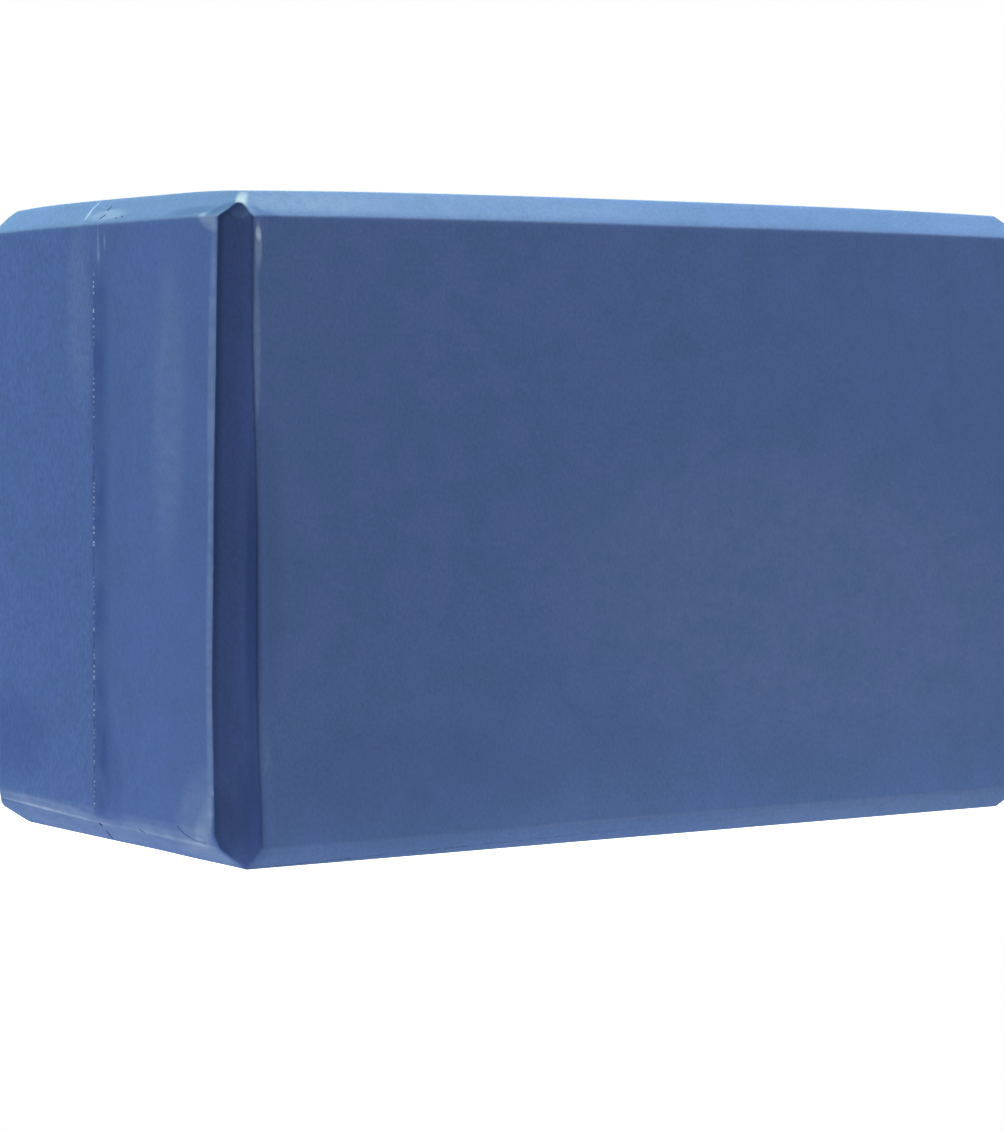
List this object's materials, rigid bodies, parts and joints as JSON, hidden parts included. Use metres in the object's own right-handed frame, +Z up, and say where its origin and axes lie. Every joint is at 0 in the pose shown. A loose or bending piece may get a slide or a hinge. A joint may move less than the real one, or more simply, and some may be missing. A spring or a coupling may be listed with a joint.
{
  "type": "foam yoga block",
  "caption": "Brick of closed-cell foam made of two glued slabs with bevelled edges, used to support a hand, foot or hip at three heights.",
  "frame": {"origin": "middle of the long narrow face that the block stands on", "axes": "+X along the length, +Y from the front slab to the rear slab, +Z up"},
  "size_m": [0.229, 0.125, 0.15],
  "materials": {
    "front_foam": "matte",
    "rear_foam": "matte"
  },
  "bodies": {
    "root": {"front_slab": "front_foam", "rear_slab": "rear_foam"}
  },
  "joints": []
}
